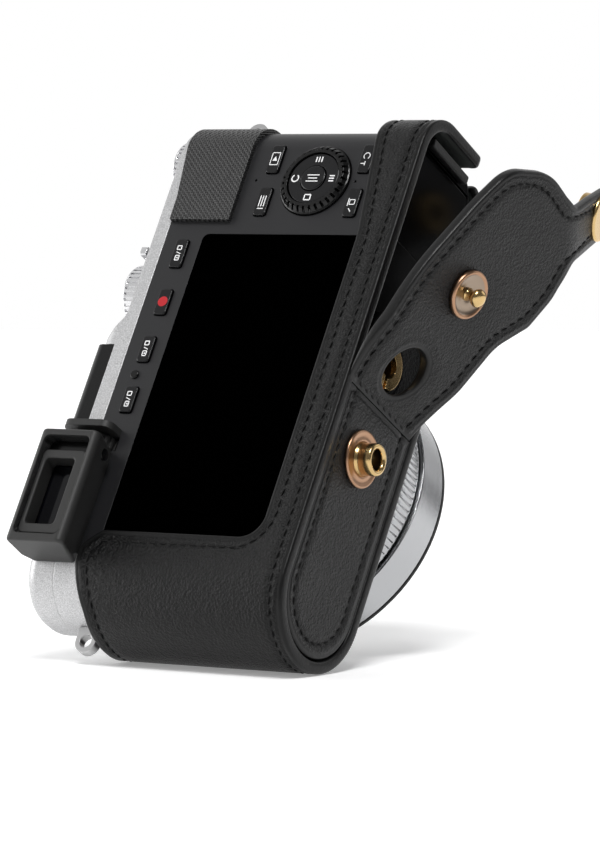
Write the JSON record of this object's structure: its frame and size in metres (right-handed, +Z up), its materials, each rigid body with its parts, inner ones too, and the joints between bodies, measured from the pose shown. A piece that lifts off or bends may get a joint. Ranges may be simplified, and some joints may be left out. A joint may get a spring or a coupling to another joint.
{
  "type": "compact camera in a half case",
  "caption": "Compact digital camera standing on the rounded end of its leather half case and its lens rim, case flap swung open.",
  "frame": {"origin": "centre of the bounding box's bottom face, on the surface the object stands on", "axes": "+Z up, -Y towards the camera's back and screen, +X out of the camera's base; the whole object leans about X on its rounded end and lens rim"},
  "size_m": [0.092, 0.1058, 0.1135],
  "materials": {
    "black_paint": "satin",
    "silver": "satin anodised",
    "silver_dial": "turned",
    "lens_silver": "brushed",
    "lens_black": "satin",
    "black_plastic": "satin",
    "gloss_black": "gloss",
    "grip_rubber": "embossed",
    "screen_glass": "polished",
    "lens_glass": "coated",
    "steel": "satin",
    "brass": "polished",
    "leather": "fine grain",
    "frame_metal": "cast",
    "board": "matt",
    "cell": "matt"
  },
  "bodies": {
    "camera": {"base_plate": "black_paint", "battery": "cell", "case_base_panel": "leather", "case_end_strip": "leather", "case_front_grip": "leather", "case_tongue": "leather", "case_wrap": "leather", "diopter_guard": "black_plastic", "eye_sensor": "gloss_black", "eyepiece_frame": "black_plastic", "eyepiece_glass": "lens_glass", "eyepiece_housing": "black_plastic", "eyepiece_screw": "steel", "finder_module": "frame_metal", "front_cover": "silver", "front_grip": "grip_rubber", "front_rim": "lens_black", "front_snap_stud": "brass", "hot_shoe": "steel", "image_sensor": "cell", "lcd_glass": "screen_glass", "lcd_panel": "steel", "lens_flange": "lens_black", "lens_tube": "lens_black", "main_board": "board", "navigation_pad": "gloss_black", "rear_cover": "black_paint", "shoe_panel": "gloss_black", "snap_post": "brass", "strap_lugs": "steel", "thumb_grip": "grip_rubber", "top_plate": "silver", "tripod_socket": "steel"},
    "flap": {"case_flap": "leather", "snap_stud": "brass"},
    "tab": {"case_tab": "leather", "tab_snap": "brass"},
    "case_screw": {"case_screw": "brass"},
    "battery_door": {"battery_door": "black_plastic"},
    "control_dial": {"control_dial": "black_plastic"},
    "center_button": {"center_button": "gloss_black"},
    "exposure_dial": {"exposure_dial": "silver_dial"},
    "speed_dial": {"speed_dial": "silver_dial"},
    "shutter_button": {"shutter_button": "silver_dial"},
    "zoom_lever": {"zoom_lever": "silver_dial"},
    "power_lever": {"power_lever": "black_plastic"},
    "diopter_wheel": {"diopter_wheel": "black_plastic"},
    "aperture_ring": {"aperture_ring": "lens_silver"},
    "control_ring": {"control_ring": "lens_silver"},
    "lens_barrel": {"lens_barrel": "black_plastic"},
    "lens_nose": {"lens_nose": "black_plastic", "front_element": "lens_glass"},
    "play_button": {"play_button": "gloss_black"},
    "menu_button": {"menu_button": "gloss_black"},
    "focus_button": {"focus_button": "gloss_black"},
    "delete_button": {"delete_button": "gloss_black"},
    "drive_button": {"drive_button": "gloss_black"},
    "record_button": {"record_button": "gloss_black"},
    "quick_button": {"quick_button": "gloss_black"},
    "display_button": {"display_button": "gloss_black"}
  },
  "joints": [
    {"name": "case_flap", "type": "hinge", "parent": "camera", "child": "flap", "pos_m": [0.02307, -0.00797, 0.05122], "axis": [0, 0.8577, -0.5142], "range_deg": [-19, 78]},
    {"name": "case_tab", "type": "hinge", "parent": "flap", "child": "tab", "pos_m": [0.04313, 0.0315, 0.08905], "axis": [0.2381, -0.2294, 0.9438], "range_deg": [-50, 26]},
    {"name": "battery_door", "type": "hinge", "parent": "camera", "child": "battery_door", "pos_m": [0.01917, 0.01963, 0.10113], "axis": [0, -0.8577, 0.5142], "range_deg": [0, 86]},
    {"name": "lens_barrel", "type": "slide", "parent": "camera", "child": "lens_barrel", "axis": [0, 0.8577, -0.5142], "range_m": [0, 0.008]},
    {"name": "lens_nose", "type": "slide", "parent": "lens_barrel", "child": "lens_nose", "axis": [0, 0.8577, -0.5142], "range_m": [0, 0.006]},
    {"name": "aperture_ring", "type": "hinge", "parent": "camera", "child": "aperture_ring", "pos_m": [-0.00953, 0.00173, 0.03433], "axis": [0, 0.8577, -0.5142], "range_deg": [-40, 40]},
    {"name": "control_ring", "type": "hinge", "parent": "camera", "child": "control_ring", "pos_m": [-0.00953, 0.00859, 0.03021], "axis": [0, 0.8577, -0.5142], "continuous": true},
    {"name": "control_dial", "type": "hinge", "parent": "camera", "child": "control_dial", "pos_m": [-0.00194, 0.00249, 0.10075], "axis": [0, -0.8577, 0.5142], "continuous": true},
    {"name": "exposure_dial", "type": "hinge", "parent": "camera", "child": "exposure_dial", "pos_m": [-0.04063, 0.01426, 0.1019], "axis": [-1, 0, 0], "range_deg": [-110, 110]},
    {"name": "speed_dial", "type": "hinge", "parent": "camera", "child": "speed_dial", "pos_m": [-0.04163, -0.00108, 0.07495], "axis": [-1, 0, 0], "continuous": true},
    {"name": "shutter_button", "type": "slide", "parent": "camera", "child": "shutter_button", "axis": [1, 0, 0], "range_m": [0, 0.0008], "stiffness_N_per_m": 1200},
    {"name": "zoom_lever", "type": "hinge", "parent": "camera", "child": "zoom_lever", "pos_m": [-0.04063, 0.01272, 0.08475], "axis": [-1, 0, 0], "range_deg": [-20, 20], "stiffness_Nm_per_rad": 0.02},
    {"name": "power_lever", "type": "hinge", "parent": "camera", "child": "power_lever", "pos_m": [-0.04063, -0.00282, 0.08392], "axis": [-1, 0, 0], "range_deg": [0, 25]},
    {"name": "diopter_wheel", "type": "hinge", "parent": "camera", "child": "diopter_wheel", "pos_m": [-0.03613, -0.02885, 0.04438], "axis": [0, 0.5142, 0.8577], "range_deg": [-140, 140]},
    {"name": "case_screw", "type": "hinge", "parent": "camera", "child": "case_screw", "pos_m": [0.02137, -0.00732, 0.06202], "axis": [1, 0, 0], "continuous": true},
    {"name": "center_button", "type": "slide", "parent": "camera", "child": "center_button", "axis": [0, 0.8577, -0.5142], "range_m": [0, 0.0004], "stiffness_N_per_m": 2000},
    {"name": "play_button", "type": "slide", "parent": "camera", "child": "play_button", "axis": [0, 0.8577, -0.5142], "range_m": [0, 0.0004], "stiffness_N_per_m": 2000},
    {"name": "menu_button", "type": "slide", "parent": "camera", "child": "menu_button", "axis": [0, 0.8577, -0.5142], "range_m": [0, 0.0004], "stiffness_N_per_m": 2000},
    {"name": "focus_button", "type": "slide", "parent": "camera", "child": "focus_button", "axis": [0, 0.8577, -0.5142], "range_m": [0, 0.0004], "stiffness_N_per_m": 2000},
    {"name": "delete_button", "type": "slide", "parent": "camera", "child": "delete_button", "axis": [0, 0.8577, -0.5142], "range_m": [0, 0.0004], "stiffness_N_per_m": 2000},
    {"name": "drive_button", "type": "slide", "parent": "camera", "child": "drive_button", "axis": [0, 0.8577, -0.5142], "range_m": [0, 0.0004], "stiffness_N_per_m": 2000},
    {"name": "record_button", "type": "slide", "parent": "camera", "child": "record_button", "axis": [0, 0.8577, -0.5142], "range_m": [0, 0.0004], "stiffness_N_per_m": 2000},
    {"name": "quick_button", "type": "slide", "parent": "camera", "child": "quick_button", "axis": [0, 0.8577, -0.5142], "range_m": [0, 0.0004], "stiffness_N_per_m": 2000},
    {"name": "display_button", "type": "slide", "parent": "camera", "child": "display_button", "axis": [0, 0.8577, -0.5142], "range_m": [0, 0.0004], "stiffness_N_per_m": 2000}
  ],
  "couplings": [
    {"joint": "lens_nose", "follows": "lens_barrel", "ratio": 0.75}
  ]
}
